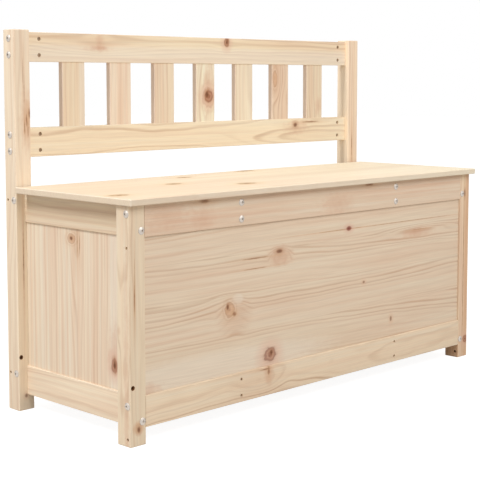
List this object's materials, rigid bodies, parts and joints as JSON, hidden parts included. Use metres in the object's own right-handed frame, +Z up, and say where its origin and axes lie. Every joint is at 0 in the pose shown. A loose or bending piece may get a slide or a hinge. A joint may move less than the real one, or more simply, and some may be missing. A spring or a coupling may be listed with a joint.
{
  "type": "storage bench",
  "caption": "Plain pine storage bench with a slatted backrest, a panelled box seat and a hinged lid that opens the storage space.",
  "frame": {"origin": "middle of the bench's footprint on the floor, under the middle of its bounding box", "axes": "+X along the bench to its right end as seen from the front, +Y to its back, +Z up"},
  "size_m": [1.05, 0.3916, 0.75],
  "materials": {
    "pine": "planed, unfinished",
    "zinc_steel": "zinc plated",
    "hinge_steel": "rolled sheet, zinc plated"
  },
  "bodies": {
    "frame": {"front_left_post": "pine", "front_right_post": "pine", "rear_left_post": "pine", "rear_right_post": "pine", "front_top_rail": "pine", "front_bottom_rail": "pine", "rear_top_rail": "pine", "rear_bottom_rail": "pine", "left_top_rail": "pine", "left_bottom_rail": "pine", "right_top_rail": "pine", "right_bottom_rail": "pine", "front_panel": "pine", "rear_panel": "pine", "left_panel": "pine", "right_panel": "pine", "backrest_top_rail": "pine", "backrest_lower_rail": "pine", "backrest_slat_1": "pine", "backrest_slat_2": "pine", "backrest_slat_3": "pine", "backrest_slat_4": "pine", "backrest_slat_5": "pine", "backrest_slat_6": "pine", "backrest_slat_7": "pine", "left_seat_bearer": "pine", "right_seat_bearer": "pine", "front_floor_ledger": "pine", "rear_floor_ledger": "pine", "floor_board_1": "pine", "floor_board_2": "pine", "floor_board_3": "pine", "floor_board_4": "pine", "floor_board_5": "pine", "floor_board_6": "pine", "backrest_bolts": "zinc_steel", "end_bolts": "zinc_steel", "side_bolts": "zinc_steel", "bearer_bolts": "zinc_steel", "backrest_barrel_nuts": "zinc_steel", "end_barrel_nuts": "zinc_steel", "side_barrel_nuts": "zinc_steel", "bearer_barrel_nuts": "zinc_steel", "ledger_screws": "zinc_steel", "floor_screws": "zinc_steel", "frame_hinge_screws": "zinc_steel", "left_hinge_frame_leaf": "hinge_steel", "right_hinge_frame_leaf": "hinge_steel", "left_hinge_pin": "hinge_steel", "right_hinge_pin": "hinge_steel"},
    "lid": {"seat_lid": "pine", "left_hinge_lid_leaf": "hinge_steel", "right_hinge_lid_leaf": "hinge_steel", "lid_hinge_screws": "zinc_steel"}
  },
  "joints": [
    {"name": "lid_hinge", "type": "hinge", "parent": "frame", "child": "lid", "pos_m": [0, 0.1542, 0.4424], "axis": [-1, 0, 0], "range_deg": [0, 90]}
  ]
}
